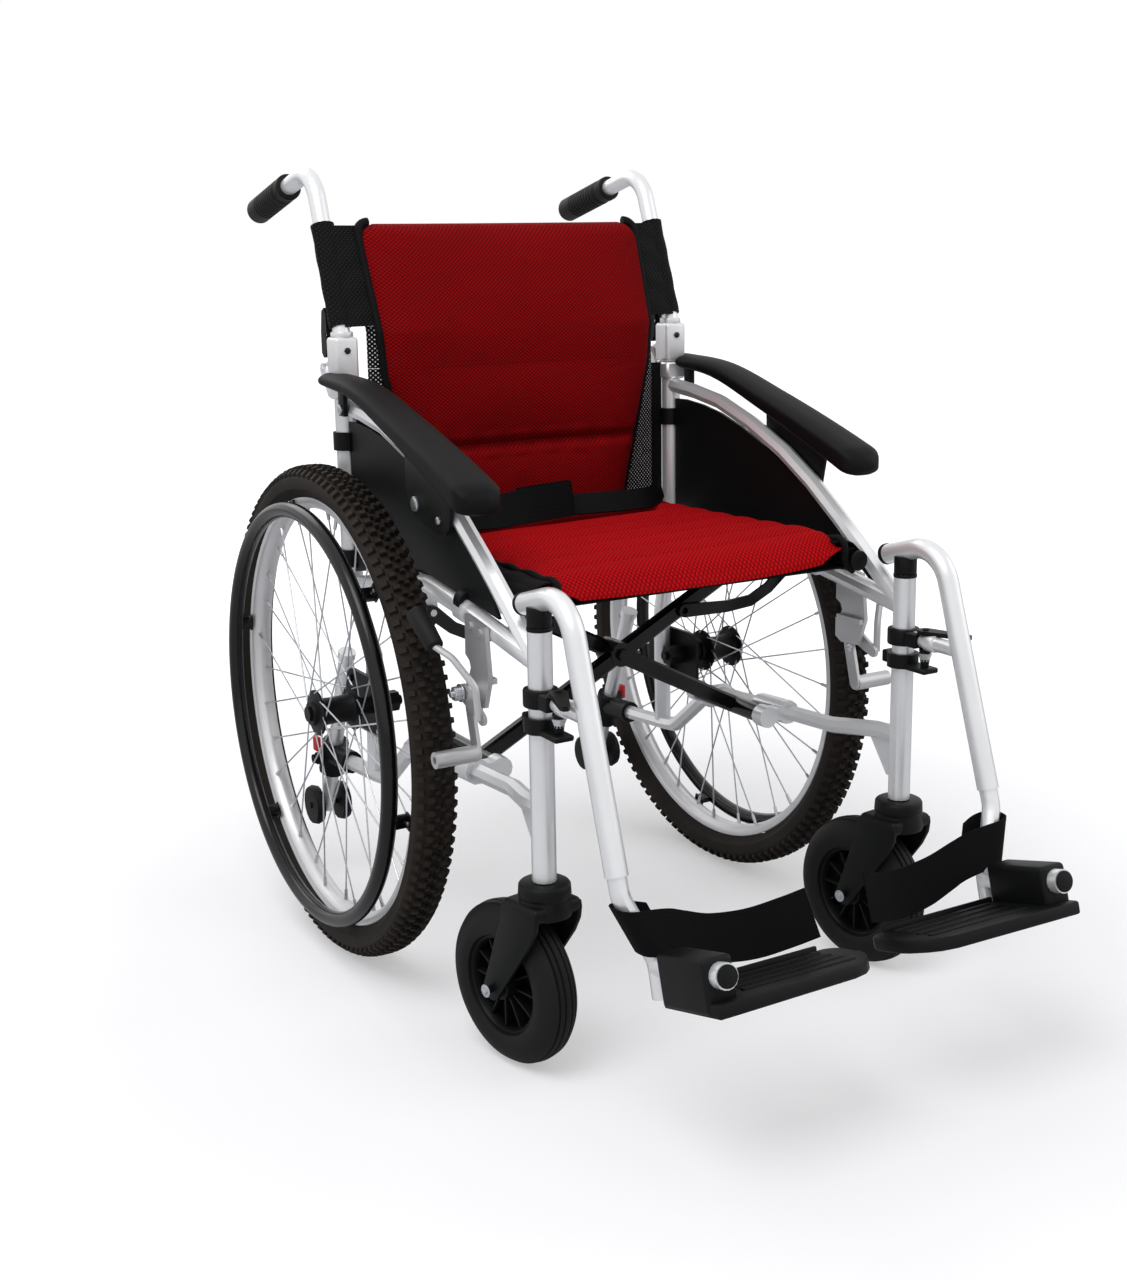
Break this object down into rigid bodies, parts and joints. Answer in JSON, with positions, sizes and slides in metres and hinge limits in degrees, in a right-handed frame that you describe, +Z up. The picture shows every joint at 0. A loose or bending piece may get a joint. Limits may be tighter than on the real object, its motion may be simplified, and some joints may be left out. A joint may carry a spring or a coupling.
{
  "type": "wheelchair",
  "caption": "Folding self-propelled wheelchair with treaded spoked rear wheels, hand rims, swivel casters, red padded seat and back, swing-away footrests and anti-tip stays.",
  "frame": {"origin": "on the floor, at the centre of the bounding box's base", "axes": "+Z up; -Y is the way the user faces; +X is the user's left"},
  "size_m": [0.6638, 1.0343, 0.9468],
  "materials": {
    "silver_paint": "satin silver paint",
    "bare_alloy": "machined alloy",
    "black_paint": "gloss black paint",
    "black_plastic": "moulded black plastic",
    "rubber": "moulded rubber",
    "tyre_rubber": "treaded rubber",
    "bright_steel": "plated steel",
    "red_mesh_fabric": "red spacer mesh",
    "black_fabric": "black webbing and net"
  },
  "bodies": {
    "frame_right": {"frame_right": "silver_paint", "axle_plate_right": "black_paint", "side_panel_right": "black_plastic", "armrest_right": "black_plastic", "brake_body_right": "bare_alloy", "post_catch_right": "black_plastic", "anti_tip_tee_right": "black_plastic", "back_pad_lower": "red_mesh_fabric"},
    "frame_left": {"frame_left": "silver_paint", "axle_plate_left": "black_paint", "side_panel_left": "black_plastic", "armrest_left": "black_plastic", "brake_body_left": "bare_alloy", "post_catch_left": "black_plastic", "anti_tip_tee_left": "black_plastic"},
    "brace_front": {"brace_bar_front": "black_paint", "brace_bolt": "bright_steel", "seat_sling": "black_fabric", "seat_cushion": "red_mesh_fabric", "lap_belt": "black_fabric"},
    "brace_rear": {"brace_bar_rear": "black_paint"},
    "link_right": {"brace_link_right": "black_paint"},
    "back_right": {"back_tube_right": "silver_paint", "push_grip_right": "rubber", "back_pad_upper": "red_mesh_fabric"},
    "back_latch_right": {"back_latch_right": "black_plastic"},
    "wheel_right": {"tyre_right": "tyre_rubber", "rim_right": "bare_alloy", "hub_right": "black_plastic", "handrim_right": "black_paint"},
    "caster_fork_right": {"caster_fork_right": "black_plastic"},
    "caster_wheel_right": {"caster_wheel_right": "rubber"},
    "brake_lever_right": {"brake_lever_right": "bare_alloy"},
    "brake_arm_right": {"brake_arm_right": "bare_alloy"},
    "hanger_right": {"hanger_right": "silver_paint"},
    "latch_lever_right": {"latch_lever_right": "black_plastic"},
    "leg_right": {"leg_tube_right": "silver_paint", "heel_strap_right": "black_fabric"},
    "footplate_right": {"footplate_right": "black_plastic"},
    "anti_tip_right": {"anti_tip_tube_right": "silver_paint"},
    "anti_tip_wheels_right": {"anti_tip_wheels_right": "rubber"},
    "link_left": {"brace_link_left": "black_paint"},
    "back_left": {"back_tube_left": "silver_paint", "push_grip_left": "rubber"},
    "back_latch_left": {"back_latch_left": "black_plastic"},
    "wheel_left": {"tyre_left": "tyre_rubber", "rim_left": "bare_alloy", "hub_left": "black_plastic", "handrim_left": "black_paint"},
    "caster_fork_left": {"caster_fork_left": "black_plastic"},
    "caster_wheel_left": {"caster_wheel_left": "rubber"},
    "brake_lever_left": {"brake_lever_left": "bare_alloy"},
    "brake_arm_left": {"brake_arm_left": "bare_alloy"},
    "hanger_left": {"hanger_left": "silver_paint"},
    "latch_lever_left": {"latch_lever_left": "black_plastic"},
    "leg_left": {"leg_tube_left": "silver_paint", "heel_strap_left": "black_fabric"},
    "footplate_left": {"footplate_left": "black_plastic"},
    "anti_tip_left": {"anti_tip_tube_left": "silver_paint"},
    "anti_tip_wheels_left": {"anti_tip_wheels_left": "rubber"}
  },
  "joints": [
    {"name": "chair_fold", "type": "hinge", "parent": "frame_right", "child": "brace_front", "pos_m": [-0.186, 0.00311, 0.276], "axis": [0, -1, 0], "range_deg": [0, 45], "deforming": ["seat_cushion", "seat_sling", "lap_belt", "back_pad_upper", "back_pad_lower"]},
    {"name": "brace_cross", "type": "hinge", "parent": "brace_front", "child": "brace_rear", "pos_m": [0, 0.00311, 0.373], "axis": [0, -1, 0], "range_deg": [-90, 0]},
    {"name": "brace_left_foot", "type": "hinge", "parent": "brace_rear", "child": "frame_left", "pos_m": [0.186, 0.00311, 0.276], "axis": [0, -1, 0], "range_deg": [0, 45]},
    {"name": "link_right", "type": "hinge", "parent": "frame_right", "child": "link_right", "pos_m": [-0.2355, 0.01661, 0.45], "axis": [0, -1, 0], "range_deg": [0, 67.5]},
    {"name": "back_fold_right", "type": "hinge", "parent": "frame_right", "child": "back_right", "pos_m": [-0.2355, 0.27961, 0.7065], "axis": [-1, 0, 0], "range_deg": [0, 115]},
    {"name": "back_latch_right", "type": "hinge", "parent": "back_right", "child": "back_latch_right", "pos_m": [-0.2355, 0.26961, 0.7478], "axis": [-1, 0, 0], "range_deg": [0, 12], "stiffness_Nm_per_rad": 0.05},
    {"name": "wheel_right", "type": "hinge", "parent": "frame_right", "child": "wheel_right", "pos_m": [-0.2852, 0.20361, 0.3], "axis": [1, 0, 0], "continuous": true},
    {"name": "caster_swivel_right", "type": "hinge", "parent": "frame_right", "child": "caster_fork_right", "pos_m": [-0.2355, -0.22839, 0.2152], "axis": [0, 0, 1], "continuous": true},
    {"name": "caster_wheel_right", "type": "hinge", "parent": "caster_fork_right", "child": "caster_wheel_right", "pos_m": [-0.24561, -0.17687, 0.0885], "axis": [0.9813, 0.1925, 0], "continuous": true},
    {"name": "brake_lever_right", "type": "hinge", "parent": "frame_right", "child": "brake_lever_right", "pos_m": [-0.2605, -0.10739, 0.39], "axis": [1, 0, 0], "range_deg": [0, 65]},
    {"name": "brake_arm_right", "type": "hinge", "parent": "frame_right", "child": "brake_arm_right", "pos_m": [-0.2555, -0.10739, 0.39], "axis": [1, 0, 0], "range_deg": [0, 17]},
    {"name": "hanger_swing_right", "type": "hinge", "parent": "frame_right", "child": "hanger_right", "pos_m": [-0.2355, -0.22839, 0.481], "axis": [0, 0, -1], "range_deg": [0, 90]},
    {"name": "hanger_latch_right", "type": "hinge", "parent": "hanger_right", "child": "latch_lever_right", "pos_m": [-0.2355, -0.26439, 0.4178], "axis": [0, 0, -1], "range_deg": [0, 25], "stiffness_Nm_per_rad": 0.05},
    {"name": "leg_length_right", "type": "slide", "parent": "hanger_right", "child": "leg_right", "axis": [0, -0.3123, -0.95], "range_m": [0, 0.08]},
    {"name": "footplate_flip_right", "type": "hinge", "parent": "leg_right", "child": "footplate_right", "pos_m": [-0.207, -0.50539, 0.214], "axis": [0, -0.9613, 0.2756], "range_deg": [0, 117], "deforming": ["heel_strap_right"]},
    {"name": "anti_tip_height_right", "type": "slide", "parent": "frame_right", "child": "anti_tip_right", "axis": [0, 0.3741, -0.9274], "range_m": [-0.015, 0.045]},
    {"name": "anti_tip_roll_right", "type": "hinge", "parent": "anti_tip_right", "child": "anti_tip_wheels_right", "pos_m": [-0.2165, 0.41561, 0.107], "axis": [1, 0, 0], "continuous": true},
    {"name": "link_left", "type": "hinge", "parent": "frame_left", "child": "link_left", "pos_m": [0.2355, -0.00539, 0.45], "axis": [0, -1, 0], "range_deg": [-67.5, 0]},
    {"name": "back_fold_left", "type": "hinge", "parent": "frame_left", "child": "back_left", "pos_m": [0.2355, 0.27961, 0.7065], "axis": [-1, 0, 0], "range_deg": [0, 115]},
    {"name": "back_latch_left", "type": "hinge", "parent": "back_left", "child": "back_latch_left", "pos_m": [0.2355, 0.26961, 0.7478], "axis": [-1, 0, 0], "range_deg": [0, 12], "stiffness_Nm_per_rad": 0.05},
    {"name": "wheel_left", "type": "hinge", "parent": "frame_left", "child": "wheel_left", "pos_m": [0.2852, 0.20361, 0.3], "axis": [1, 0, 0], "continuous": true},
    {"name": "caster_swivel_left", "type": "hinge", "parent": "frame_left", "child": "caster_fork_left", "pos_m": [0.2355, -0.22839, 0.2152], "axis": [0, 0, 1], "continuous": true},
    {"name": "caster_wheel_left", "type": "hinge", "parent": "caster_fork_left", "child": "caster_wheel_left", "pos_m": [0.22874, -0.17633, 0.0885], "axis": [0.9917, 0.1288, 0], "continuous": true},
    {"name": "brake_lever_left", "type": "hinge", "parent": "frame_left", "child": "brake_lever_left", "pos_m": [0.2605, -0.10739, 0.39], "axis": [1, 0, 0], "range_deg": [0, 65]},
    {"name": "brake_arm_left", "type": "hinge", "parent": "frame_left", "child": "brake_arm_left", "pos_m": [0.2555, -0.10739, 0.39], "axis": [1, 0, 0], "range_deg": [0, 17]},
    {"name": "hanger_swing_left", "type": "hinge", "parent": "frame_left", "child": "hanger_left", "pos_m": [0.2355, -0.22839, 0.481], "axis": [0, 0, 1], "range_deg": [0, 90]},
    {"name": "hanger_latch_left", "type": "hinge", "parent": "hanger_left", "child": "latch_lever_left", "pos_m": [0.2355, -0.26439, 0.4178], "axis": [0, 0, 1], "range_deg": [0, 25], "stiffness_Nm_per_rad": 0.05},
    {"name": "leg_length_left", "type": "slide", "parent": "hanger_left", "child": "leg_left", "axis": [0, -0.3123, -0.95], "range_m": [0, 0.08]},
    {"name": "footplate_flip_left", "type": "hinge", "parent": "leg_left", "child": "footplate_left", "pos_m": [0.207, -0.50539, 0.214], "axis": [0, 0.9613, -0.2756], "range_deg": [0, 117], "deforming": ["heel_strap_left"]},
    {"name": "anti_tip_height_left", "type": "slide", "parent": "frame_left", "child": "anti_tip_left", "axis": [0, 0.3741, -0.9274], "range_m": [-0.015, 0.045]},
    {"name": "anti_tip_roll_left", "type": "hinge", "parent": "anti_tip_left", "child": "anti_tip_wheels_left", "pos_m": [0.2165, 0.41561, 0.107], "axis": [1, 0, 0], "continuous": true}
  ],
  "couplings": [
    {"joint": "brace_cross", "follows": "chair_fold", "ratio": -2},
    {"joint": "brace_left_foot", "follows": "chair_fold", "ratio": 1},
    {"joint": "link_right", "follows": "chair_fold", "ratio": 1.488},
    {"joint": "brake_arm_right", "follows": "brake_lever_right", "ratio": 0.26154},
    {"joint": "footplate_flip_right", "follows": "chair_fold", "ratio": 2.6},
    {"joint": "link_left", "follows": "chair_fold", "ratio": -1.488},
    {"joint": "brake_arm_left", "follows": "brake_lever_left", "ratio": 0.26154},
    {"joint": "footplate_flip_left", "follows": "chair_fold", "ratio": 2.6},
    {"joint": "back_fold_left", "follows": "back_fold_right", "ratio": 1}
  ]
}
